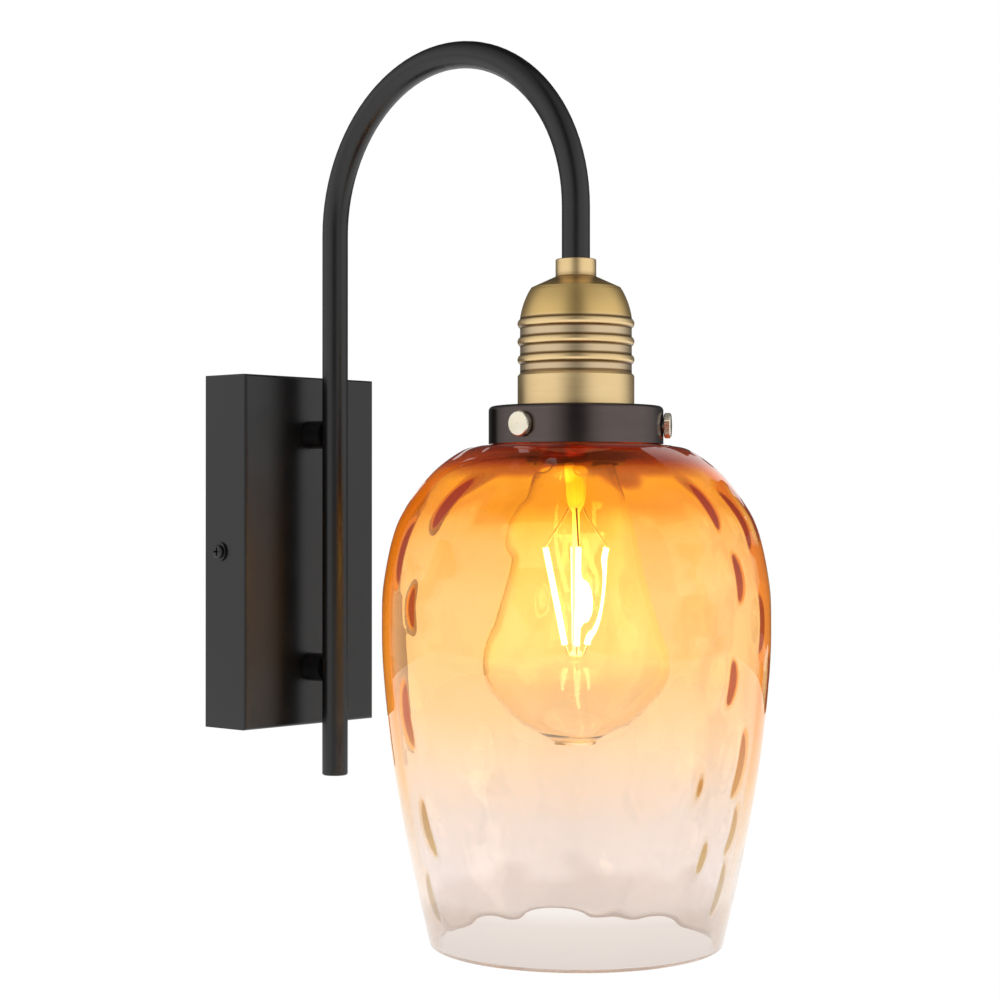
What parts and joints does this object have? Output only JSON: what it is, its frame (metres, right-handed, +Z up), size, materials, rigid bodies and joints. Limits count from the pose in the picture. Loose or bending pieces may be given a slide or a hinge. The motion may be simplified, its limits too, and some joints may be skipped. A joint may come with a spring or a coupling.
{
  "type": "hanging pendant wall sconce",
  "caption": "Wall light: a slim box canopy carries a gooseneck tube whose brass lampholder hangs down into a dimpled tulip glass shade.",
  "frame": {"origin": "centre of the canopy's back, on the wall, midway between the two wall screws", "axes": "+Z up, +Y into the wall, so the light faces -Y; +X to the right for someone who faces the wall"},
  "size_m": [0.1398, 0.2339, 0.3337],
  "materials": {
    "black_steel": "satin black powder coat",
    "bronze_black": "satin bronze-black lacquer",
    "zinc_steel": "bright zinc plating",
    "antique_brass": "antique brushed brass, lacquered",
    "polished_brass": "polished brass",
    "plain_brass": "as machined",
    "black_phenolic": "moulded, gloss",
    "glazed_ceramic": "white glaze",
    "white_nylon": "moulded, matte",
    "amber_glass": "hand-blown, dimpled, amber fading to clear",
    "clear_glass": "clear",
    "black_glass": "black vitrified glass",
    "tin": "tinned",
    "nickel": "nickel plated",
    "circuit": "plain board",
    "phosphor": "yellow phosphor coating",
    "brown_pvc": "matte",
    "blue_pvc": "matte",
    "green_pvc": "matte"
  },
  "bodies": {
    "lamp": {"canopy_box": "black_steel", "wall_bracket": "zinc_steel", "canopy_screws": "black_steel", "earth_screw": "plain_brass", "earth_tag": "tin", "terminal_block": "white_nylon", "terminal_inserts": "plain_brass", "terminal_clamp_screws": "zinc_steel", "terminal_fixing_screw": "zinc_steel", "gooseneck_tube": "black_steel", "tube_end_plug": "black_steel", "upper_post": "black_steel", "lower_post": "black_steel", "post_nipple": "zinc_steel", "post_nut": "zinc_steel", "post_washers": "zinc_steel", "lower_post_bolt": "zinc_steel", "neck_collar": "antique_brass", "head_nipple": "zinc_steel", "head_nuts": "zinc_steel", "head_washer": "zinc_steel", "socket_cup": "antique_brass", "holder_bridge": "zinc_steel", "bridge_screws": "zinc_steel", "holder_barrel": "black_phenolic", "socket_insert": "glazed_ceramic", "thread_shell": "plain_brass", "centre_contact": "plain_brass", "shell_contact": "plain_brass", "holder_terminals": "plain_brass", "holder_terminal_screws": "zinc_steel", "shade_fitter": "bronze_black", "fitter_ring_nut": "black_phenolic", "glass_shade": "amber_glass", "earth_lead": "green_pvc", "live_lead": "brown_pvc", "neutral_lead": "blue_pvc"},
    "bulb_tip": {"bulb_insulator": "black_glass", "bulb_contact": "tin"},
    "bulb": {"bulb_cap": "nickel", "bulb_driver": "circuit", "bulb_envelope": "clear_glass", "bulb_stem": "clear_glass", "filament_sticks": "phosphor", "filament_wires": "nickel"},
    "thumb_stud_1": {"thumb_screw_stud_1": "zinc_steel"},
    "thumb_knob_1": {"thumb_screw_knob_1": "polished_brass"},
    "thumb_stud_2": {"thumb_screw_stud_2": "zinc_steel"},
    "thumb_knob_2": {"thumb_screw_knob_2": "polished_brass"},
    "thumb_stud_3": {"thumb_screw_stud_3": "zinc_steel"},
    "thumb_knob_3": {"thumb_screw_knob_3": "polished_brass"}
  },
  "joints": [
    {"name": "bulb_travel", "type": "slide", "parent": "lamp", "child": "bulb_tip", "axis": [0, 0, -1], "range_m": [0, 0.01448]},
    {"name": "bulb_turn", "type": "hinge", "parent": "bulb_tip", "child": "bulb", "pos_m": [0, -0.164, 0.056], "axis": [0, 0, -1], "range_deg": [0, 1440]},
    {"name": "thumb_screw_1_travel", "type": "slide", "parent": "lamp", "child": "thumb_stud_1", "axis": [-0.9976, -0.0698, 0], "range_m": [0, 0.0035]},
    {"name": "thumb_screw_1_turn", "type": "hinge", "parent": "thumb_stud_1", "child": "thumb_knob_1", "pos_m": [-0.03312, -0.16632, 0.0468], "axis": [-0.9976, -0.0698, 0], "range_deg": [0, 1800]},
    {"name": "thumb_screw_2_travel", "type": "slide", "parent": "lamp", "child": "thumb_stud_2", "axis": [0.5592, -0.829, 0], "range_m": [0, 0.0035]},
    {"name": "thumb_screw_2_turn", "type": "hinge", "parent": "thumb_stud_2", "child": "thumb_knob_2", "pos_m": [0.01857, -0.19152, 0.0468], "axis": [0.5592, -0.829, 0], "range_deg": [0, 1800]},
    {"name": "thumb_screw_3_travel", "type": "slide", "parent": "lamp", "child": "thumb_stud_3", "axis": [0.4384, 0.8988, 0], "range_m": [0, 0.0035]},
    {"name": "thumb_screw_3_turn", "type": "hinge", "parent": "thumb_stud_3", "child": "thumb_knob_3", "pos_m": [0.01455, -0.13416, 0.0468], "axis": [0.4384, 0.8988, 0], "range_deg": [0, 1800]}
  ],
  "couplings": [
    {"joint": "bulb_turn", "follows": "bulb_travel", "rad_per_m": 1735.7},
    {"joint": "thumb_screw_1_turn", "follows": "thumb_screw_1_travel", "rad_per_m": 8976},
    {"joint": "thumb_screw_2_turn", "follows": "thumb_screw_2_travel", "rad_per_m": 8976},
    {"joint": "thumb_screw_3_turn", "follows": "thumb_screw_3_travel", "rad_per_m": 8976}
  ]
}
